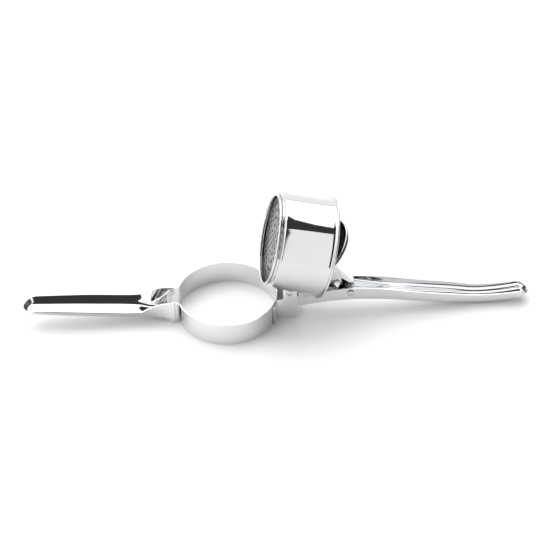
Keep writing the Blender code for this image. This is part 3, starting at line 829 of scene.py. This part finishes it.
def makeBracket():
    top = pusher["length"] - pusher["plateSheet"] - pusher["gap"]
    lobe, web, half = pusher["lobe"], pusher["web"], pusher["half"]
    spread = math.tan(math.radians(pusher["spread"]))
    height = top - 0.0002
    # one ear, from the web's lower end round the pin and up its slanting side
    outline = [(web, 0.0050), (web - 0.0006, 0.0030), (lobe + 0.0006, 0.0012)]
    outline += arcPoints((0, 0), lobe, 0, -180, 14)
    outline += [(-lobe - 0.25 * height * spread, 0.25 * height),
                (-lobe - height * spread, height), (web, height)]
    obj = startPoint("pusherBracket", (outline[0][0], -half, outline[0][1]))
    drawLine([(x, -half, z) for x, z in outline])
    objectMode()
    closeOutline(obj)
    editMode()
    bpy.ops.mesh.select_all(action="SELECT")
    bpy.ops.mesh.edge_face_add()
    pickVertices(obj, lambda co: abs(co.x - web) < metresApart)
    drawTo((0, 0.0006, 0))
    drawTo((0, half - 0.0006, 0))
    objectMode()
    # the fold between ear and web is rounded
    mirrorAcross(obj)
    editMode("EDGE")
    bpy.ops.mesh.select_all(action="DESELECT")
    objectMode()
    for edge in obj.data.edges:
        ends = [obj.data.vertices[i].co for i in edge.vertices]
        edge.select = all(abs(end.x - web) < metresApart
                          and abs(abs(end.y) - half) < metresApart for end in ends)
    editMode("EDGE")
    bpy.ops.mesh.bevel(offset=0.0014, segments=5, affect="EDGES", profile=0.5)
    objectMode()
    faceOutwards(obj, (web, 0, 0.02), (1, 0, 0))
    thicken(obj, sheet)
    applyAll(obj)

    deselectAll()
    middle = web - pusher["footLength"] / 2 + 0.0012
    bpy.ops.mesh.primitive_cube_add(size=1, location=(middle, 0, top - sheet / 2))
    foot = bpy.context.object
    foot.name = "bracketFoot"
    foot.scale = (pusher["footLength"], 2 * pusher["footHalf"], sheet)
    bpy.ops.object.transform_apply(location=True, rotation=True, scale=True)
    editMode("EDGE")
    bpy.ops.mesh.select_all(action="DESELECT")
    objectMode()
    for edge in foot.data.edges:
        a, b = [foot.data.vertices[i].co for i in edge.vertices]
        edge.select = abs(a.z - b.z) > sheet / 2
    editMode("EDGE")
    bpy.ops.mesh.bevel(offset=0.004, segments=8, affect="EDGES", profile=0.5)
    objectMode()
    union = obj.modifiers.new("foot", "BOOLEAN")
    union.operation = "UNION"
    union.solver = "MANIFOLD"
    union.object = foot
    applyAll(obj)
    bpy.data.objects.remove(foot, do_unlink=True)
    cutRods(obj, hinge["pinRadius"] + pinPlay, 0.03, [Vector((0, 0, 0))])
    cutRods(obj, pusher["rivetRadius"] + pinPlay, 0.004,
            [Vector((x, y, top)) for x, y in rivetPlaces()], (0, 0, 1))
    softEdge(obj, 0.00016, 55.0, 2)
    applyAll(obj)
    smoothShade(obj, 35)
    putInPlace(obj, pusherPlace, pusherLean)
    putOn(obj, "pusher", ["pusher_bracket"], "pressings")


def rivetPlaces():
    middle = pusher["web"] - pusher["footLength"] / 2 + 0.0012
    return [(middle, -pusher["rivetSpread"]), (middle, pusher["rivetSpread"])]


def makePlate():
    top, edge, radius = pusher["length"], pusher["edge"], pusher["plateRadius"]
    outline = [(0, top - 0.0003), (0.30 * radius, top - 0.0003), (0.56 * radius, top - 0.0003),
               (0.58 * radius, top - 0.00028), (0.60 * radius, top - 0.00015),
               (0.62 * radius, top), (0.64 * radius, top), (0.85 * radius, top)]
    outline += arcPoints((radius - edge, top - edge), edge, 90, 0, 8)
    outline += [(radius, top - 0.6 * pusher["skirt"]), (radius, top - pusher["skirt"])]
    obj = turnedPiece("pusherPlate", outline, 96)
    faceOutwards(obj, (0, 0, top), (0, 0, 1))
    sheetMetal(obj, pusher["plateSheet"], 0.00018)
    cutRods(obj, pusher["rivetRadius"] + pinPlay, 0.006,
            [Vector((x, y, top)) for x, y in rivetPlaces()], (0, 0, 1))
    smoothShade(obj, 35)
    putInPlace(obj, pusherPlace, pusherLean)
    putOn(obj, "pusher", ["pusher_plate"], "basket")


def makePusher():
    makeBracket()
    makePlate()
    place = Matrix.Translation(pusherPlace) @ Matrix.Rotation(math.radians(pusherLean), 4, "Y")
    grip = pusher["plateSheet"] + sheet + 3 * pusher["gap"]
    z = pusher["length"] - pusher["plateSheet"] - pusher["gap"] - sheet + grip / 2 - pusher["gap"]
    sizes = (pusher["rivetRadius"], pusher["rivetHead"], pusher["rivetHeight"])
    for (x, y), word in zip(rivetPlaces(), ("front", "back")):
        makeRivet("plateRivet" + word.capitalize(), "plate_rivet_" + word, sizes, grip,
                  place @ Vector((x, y, z)), "pusher", pusherLean, "Y")
    pinSizes = (hinge["pinRadius"], hinge["headRadius"], hinge["headHeight"])
    makeRivet("pusherPin", "pusher_pin", pinSizes, 2 * (lever["half"] + hinge["gap"]), pusherPlace,
              "lever", 90, "X")
    long = lever["half"] - sheet - pusher["half"] - 2 * pusher["gap"]
    inner = hinge["pinRadius"] + pinPlay
    for side, word in ((-1, "front"), (1, "back")):
        y = side * (pusher["half"] + pusher["gap"] + long / 2)
        makeRing("pusherSpacer" + word.capitalize(), "pusher_spacer_" + word, inner,
                 inner + 0.0007, long, pusherPlace + Vector((0, y, 0)), "lever")


basket = {
    "sheet": 0.0006, "loose": 0.0011, "length": 0.0490, "flange": 0.0032, "lipIn": 0.0022,
    "recess": 0.0042, "bottomSheet": 0.0008, "bead": 0.0012, "gap": 0.0003,
    "hole": 0.0014, "pitch": 0.0062, "rings": 5, "roll": 0.0009, "seat": 0.0030,
}


def basketPlace():
    # the bottom's middle, from the wall's box and the way that the basket lies
    low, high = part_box("basket_wall")
    radius = bandRadius - sheet - basket["loose"]
    rim = radius + basket["flange"]
    mouthX = high.x - rim * abs(basketAxis.z)
    mouthZ = low.z + rim * abs(basketAxis.x)
    return Vector((mouthX, 0, mouthZ)) - basketAxis * basket["length"], radius


def basketTurn():
    return math.degrees(math.atan2(basketAxis.x, basketAxis.z))


def makeBasket():
    place, out = basketPlace()
    z, roll, inn = basket["length"], basket["roll"], out - basket["sheet"]
    lip, rimOut = out - basket["lipIn"], out + basket["flange"]
    outline = [(lip, basket["seat"]), (lip, 0.0037), (lip, 0.0044)]
    outline += arcPoints((out - 0.0016, 0.0062), 0.0016, -60, 0, 8)
    outline += [(out, 0.25 * z), (out, 0.6 * z), (out, z - 0.0044)]
    outline += arcPoints((out + 0.0020, z - 0.0044 + 0.0010), 0.0020, 180, 100, 6)[1:]
    outline += [(rimOut - roll, z - 2 * roll + 0.0002)]
    outline += arcPoints((rimOut - roll, z - roll), roll, -80, 180, 12)[1:]
    obj = turnedPiece("basketWall", outline, 128)
    faceOutwards(obj, (out, 0, 0.5 * z), (1, 0, 0))
    sheetMetal(obj, basket["sheet"], 0.00012)
    # the inner side, up to the flange, keeps the press shop's satin finish, with a near-black tone
    # that is painted shade for the dark it reflects
    inner = [face.index for face in obj.data.polygons
             if face.normal.dot(Vector((face.center.x, face.center.y, 0))) < 0
             and face.center.z < z - 0.002]
    putInPlace(obj, place, basketTurn())
    putOn(obj, "basket", ["basket_wall"], "basket")
    obj.data.materials.append(finishes["inside"])
    for index in inner:
        obj.data.polygons[index].material_index = 1

    outer = lip - basket["bead"] + 0.0001
    low = basket["seat"] - basket["gap"] - basket["bead"]
    ring = arcPoints((outer, low), basket["bead"], 0, 360, 16)
    obj = turnedPiece("basketBead", ring, 128)
    solidNormals(obj)
    smoothShade(obj, 50)
    putInPlace(obj, place, basketTurn())
    putOn(obj, "basket", ["basket_bead"], "basket")

    radius = lip - basket["sheet"] - basket["gap"]
    deselectAll()
    bpy.ops.mesh.primitive_circle_add(
        vertices=96, radius=radius, fill_type="NGON", location=(0, 0, basket["recess"]))
    obj = bpy.context.object
    obj.name = "basketBottom"
    bpy.ops.object.transform_apply(location=True, rotation=True, scale=True)
    editMode("FACE")
    bpy.ops.mesh.select_all(action="SELECT")
    drawTo((0, 0, basket["bottomSheet"]))
    objectMode()
    solidNormals(obj)
    places = [Vector((0, 0, basket["recess"]))]
    for ringNumber in range(1, basket["rings"] + 1):
        count = 6 * ringNumber
        for step in range(count):
            angle = 2 * math.pi * (step + 0.5 * (ringNumber % 2)) / count
            reach = ringNumber * basket["pitch"]
            places.append(Vector((reach * math.cos(angle), reach * math.sin(angle),
                                  basket["recess"])))
    cutRods(obj, basket["hole"], 0.006, places, (0, 0, 1), 20)
    softEdge(obj, 0.00010, 60.0, 2)
    level = obj.modifiers.new("level", "WEIGHTED_NORMAL")
    level.keep_sharp = True
    applyAll(obj)
    putInPlace(obj, place, basketTurn())
    # the bottom takes the same near-black painted shade
    putOn(obj, "basket", ["basket_bottom"], "inside")


makeBand()
makeHandle()
makeLever()
makeHinge()
makePusher()
makeBasket()
print("pieces made")


# levels of light, directions across the room, and degrees up from the front horizon
studio = {
    "white": 1.90, "front": 1.22, "dark": 0.045, "lowBack": 1.22, "seam": 0.25,
    "sideFrom": 0.52, "side": 0.10,
    "columnLeft": -0.34, "columnRight": 0.140, "columnLean": 0.0040, "columnWidest": 0.36,
    "columnLow": -12.0, "columnHigh": 88.0,
    "whiteFrom": 70.0, "lowBackFrom": 155.0, "table": 0.90, "tableFront": 0.34, "fill": 1.50,
    "edge": 1.6,
}


def makeTable():
    deselectAll()
    side = 8.0
    bpy.ops.mesh.primitive_plane_add(
        size=side, location=(0, side / 2 - studio["tableFront"], cadLow.z - 0.0002))
    table = bpy.context.object
    table.name = "table"
    material = bpy.data.materials.new("paleTable")
    material.use_nodes = True
    tree = material.node_tree
    shader = tree.nodes["Principled BSDF"]
    shader.inputs["Roughness"].default_value = 0.75
    shader.inputs["Specular IOR Level"].default_value = 0.2
    noise = tree.nodes.new("ShaderNodeTexNoise")
    noise.inputs["Scale"].default_value = 3.0
    place = tree.nodes.new("ShaderNodeTexCoord")
    tree.links.new(place.outputs["Object"], noise.inputs["Vector"])
    tone = tree.nodes.new("ShaderNodeMix")
    tone.data_type = "RGBA"
    level = studio["table"]
    tone.inputs["A"].default_value = (level, level, level, 1)
    tone.inputs["B"].default_value = (level * 0.985, level * 0.985, level * 0.985, 1)
    tree.links.new(noise.outputs["Fac"], tone.inputs["Factor"])
    tree.links.new(tone.outputs["Result"], shader.inputs["Base Color"])
    table.data.materials.append(material)


def makeStudio():
    # a white tent with a dark gap at the front, bright overhead and paler low at the back
    world = bpy.data.worlds.new("whiteTent")
    bpy.context.scene.world = world
    world.use_nodes = True
    tree = world.node_tree
    background = tree.nodes["Background"]
    place = tree.nodes.new("ShaderNodeTexCoord")
    split = tree.nodes.new("ShaderNodeSeparateXYZ")
    tree.links.new(place.outputs["Generated"], split.inputs[0])
    x, y, z = split.outputs
    front = mathNode(tree, "MULTIPLY", y, -1.0)
    around = mathNode(tree, "MULTIPLY", mathNode(tree, "ARCTAN2", z, front), 180 / math.pi)
    s = studio
    edge = s["edge"]
    level = rangeNode(tree, around, s["whiteFrom"] - edge, s["whiteFrom"] + edge,
                      s["front"], s["white"], True)
    lowBack = rangeNode(tree, around, s["lowBackFrom"] - 2, s["lowBackFrom"] + 4, 0.0, 1.0, True)
    level = rangeNode(tree, lowBack, 0.0, 1.0, level, s["lowBack"])
    seam = mathNode(tree, "ABSOLUTE", mathNode(tree, "SUBTRACT", around, s["lowBackFrom"] - 1))
    seam = rangeNode(tree, seam, 0.6, 1.6, 1.0, 0.0, True)
    level = rangeNode(tree, seam, 0.0, 1.0, level, s["seam"])
    # the tent's right side stands open on a dim room
    side = rangeNode(tree, x, s["sideFrom"] - 0.03, s["sideFrom"] + 0.05, 0.0, 1.0, True)
    level = rangeNode(tree, side, 0.0, 1.0, level, s["side"])
    left = rangeNode(tree, x, s["columnLeft"] - 0.02, s["columnLeft"] + 0.02, 0.0, 1.0, True)
    reach = mathNode(tree, "MULTIPLY_ADD", around, s["columnLean"], s["columnRight"])
    reach = mathNode(tree, "MINIMUM", reach, s["columnWidest"])
    past = mathNode(tree, "SUBTRACT", x, reach)
    right = rangeNode(tree, past, -0.015, 0.015, 1.0, 0.0, True)
    low = rangeNode(tree, around, s["columnLow"] - 3, s["columnLow"] + 3, 0.0, 1.0, True)
    high = rangeNode(tree, around, s["columnHigh"] - edge, s["columnHigh"] + edge, 1.0, 0.0, True)
    gap = mathNode(tree, "MULTIPLY", mathNode(tree, "MULTIPLY", left, right),
                   mathNode(tree, "MULTIPLY", low, high))
    level = rangeNode(tree, gap, 0.0, 1.0, level, s["dark"])
    # straight to the lens the room is plain white
    path = tree.nodes.new("ShaderNodeLightPath")
    level = rangeNode(tree, path.outputs["Is Camera Ray"], 0.0, 1.0, level, 1.05)
    filled = mathNode(tree, "MULTIPLY", level, s["fill"])
    level = rangeNode(tree, path.outputs["Is Diffuse Ray"], 0.0, 1.0, level, filled)
    tree.links.new(level, background.inputs["Color"])
    background.inputs["Strength"].default_value = 1.0


card = {
    "height": 0.50, "tone": 0.02,
    "corners": [(0.120, -0.235), (0.300, -0.190), (0.120, 0.045), (0.160, 0.045)],
}


def makeGobo():
    # a dark card over the basket: reflections show it, the lens and the shadows do not
    deselectAll()
    bpy.ops.mesh.primitive_plane_add(size=1.0, location=(0, 0, card["height"]))
    obj = bpy.context.object
    obj.name = "darkCard"
    bpy.ops.object.transform_apply(location=True, rotation=True, scale=True)
    corners = sorted(obj.data.vertices, key=lambda v: (v.co.y, v.co.x))
    for vertex, (x, y) in zip(corners, card["corners"]):
        vertex.co.x, vertex.co.y = x, y
    material = bpy.data.materials.new("darkCard")
    material.use_nodes = True
    shader = material.node_tree.nodes["Principled BSDF"]
    shader.inputs["Base Color"].default_value = (card["tone"],) * 3 + (1,)
    shader.inputs["Roughness"].default_value = 0.9
    shader.inputs["Specular IOR Level"].default_value = 0.0
    shader.inputs["Emission Color"].default_value = (1, 1, 1, 1)
    shader.inputs["Emission Strength"].default_value = card["tone"]
    obj.data.materials.append(material)
    obj.visible_camera = False
    obj.visible_diffuse = False
    obj.visible_shadow = False


camera = {"azimuth": -4.3, "elevation": 38.74, "distance": 1.3064, "lens": 102.1,
          "target": (-0.00259, 0.0, 0.03761)}


def makeCamera():
    a, e = math.radians(camera["azimuth"]), math.radians(camera["elevation"])
    back = Vector((math.sin(a) * math.cos(e), -math.cos(a) * math.cos(e), math.sin(e)))
    data = bpy.data.cameras.new("camera")
    data.sensor_width = 36.0
    data.lens = camera["lens"]
    data.clip_start, data.clip_end = 0.05, 50.0
    obj = bpy.data.objects.new("camera", data)
    bpy.context.scene.collection.objects.link(obj)
    obj.location = Vector(camera["target"]) + back * camera["distance"]
    obj.rotation_mode = "QUATERNION"
    obj.rotation_quaternion = (-back).to_track_quat("-Z", "Y")
    bpy.context.scene.camera = obj


makeTable()
makeStudio()
makeGobo()
makeCamera()
bpy.context.scene.view_settings.view_transform = "Standard"
print("table, light and camera set")

objectMode()
